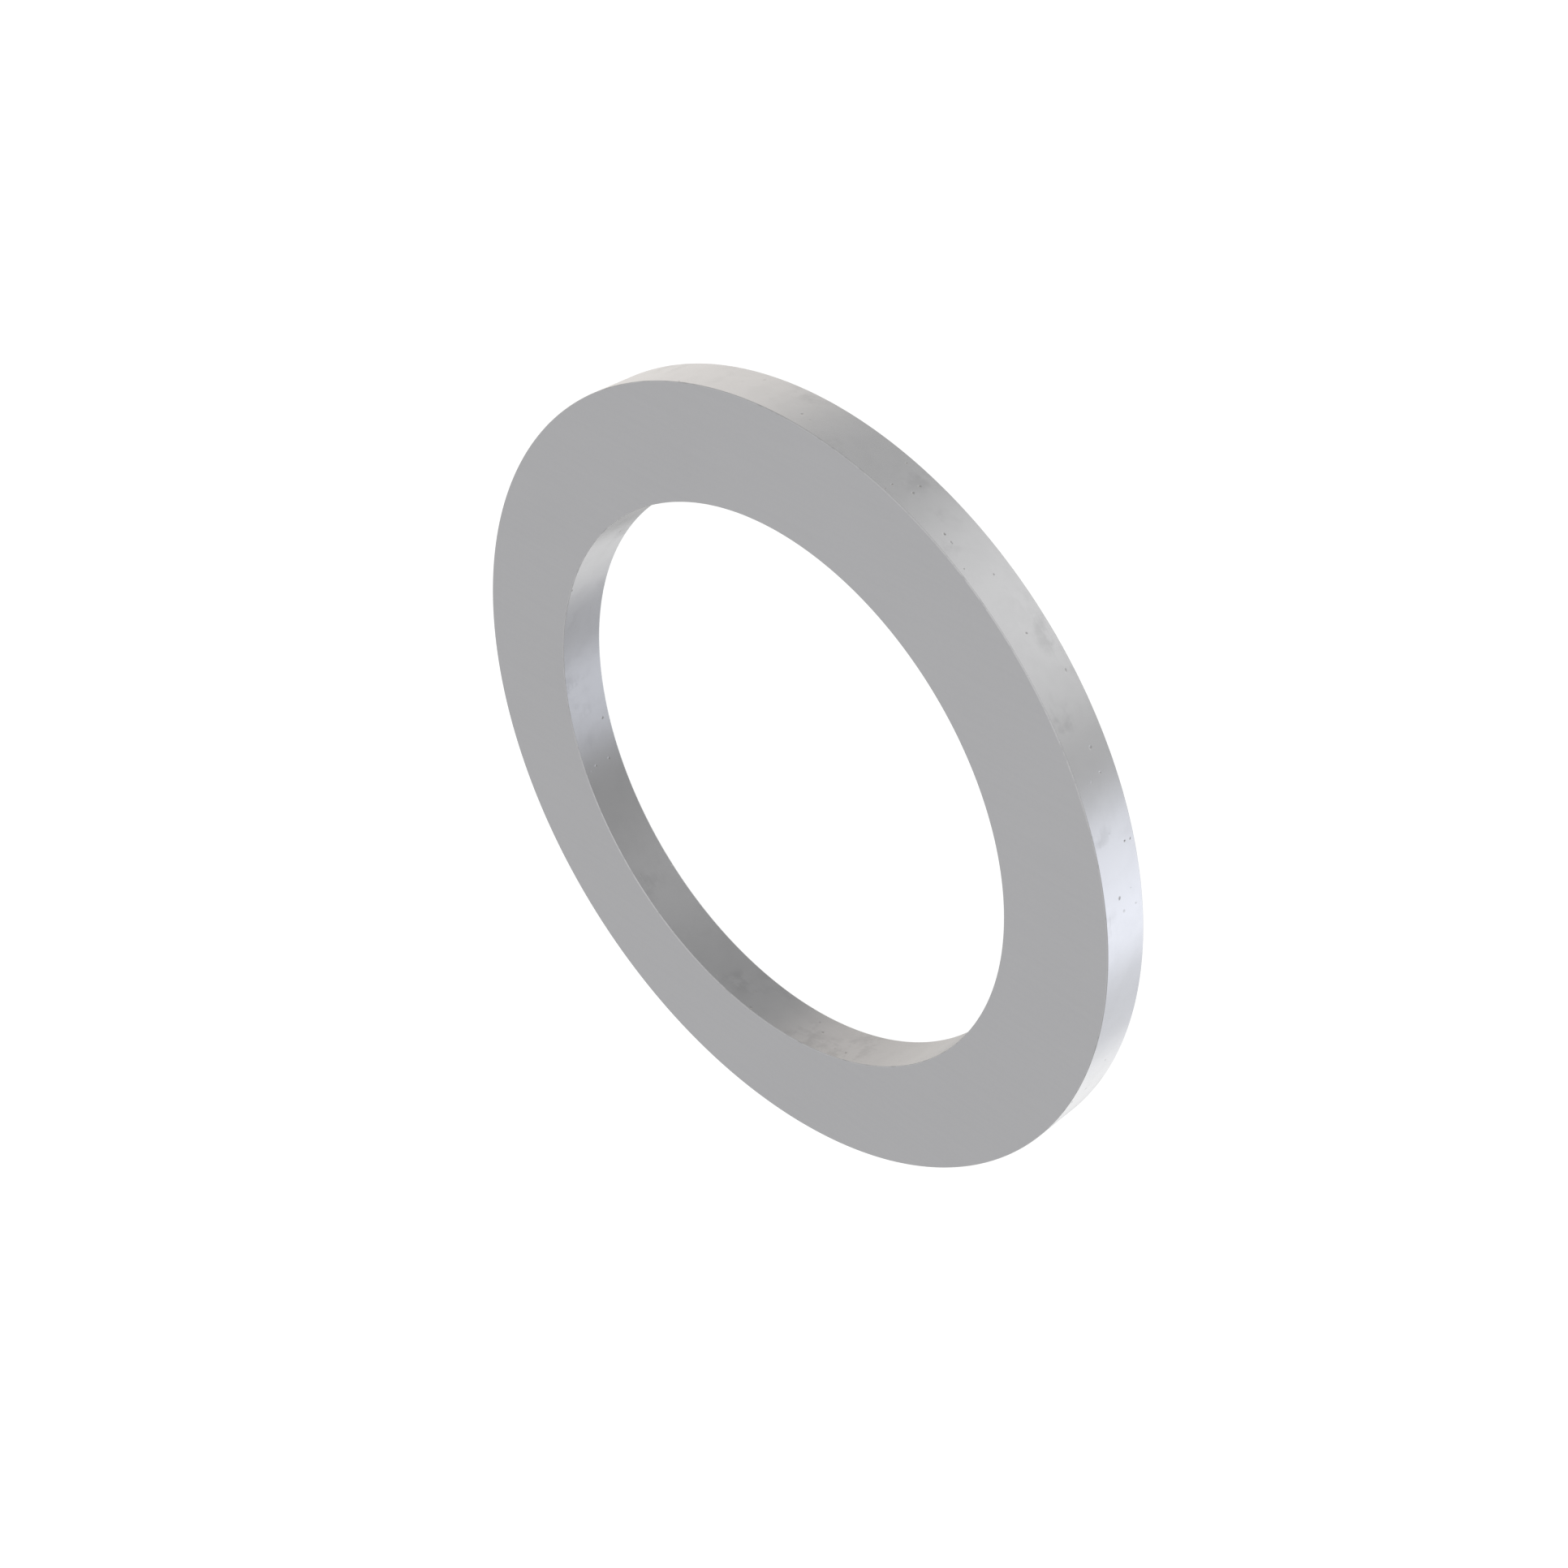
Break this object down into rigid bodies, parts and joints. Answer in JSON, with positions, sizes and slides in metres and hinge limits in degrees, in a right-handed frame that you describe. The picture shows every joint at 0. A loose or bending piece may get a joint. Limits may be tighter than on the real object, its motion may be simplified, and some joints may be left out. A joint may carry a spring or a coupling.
{
  "type": "flat washer",
  "caption": "Plain thin flat ring washer in bare bright steel, with a wide bore, parallel bearing faces and lightly broken edges.",
  "frame": {"origin": "centre of the lower bearing face, on the ring's axis, in the plane that the washer lies on", "axes": "+Z along the ring's axis, from the lower bearing face to the upper one; the ring is round, so X and Y are any two radii at right angles"},
  "size_m": [0.025, 0.025, 0.0015],
  "materials": {
    "steel": "bare bright cold-rolled spring steel: even satin grey faces, smoother rim and bore that mirror their surroundings softly, tumbled edges"
  },
  "bodies": {
    "root": {"washer": "steel"}
  },
  "joints": []
}
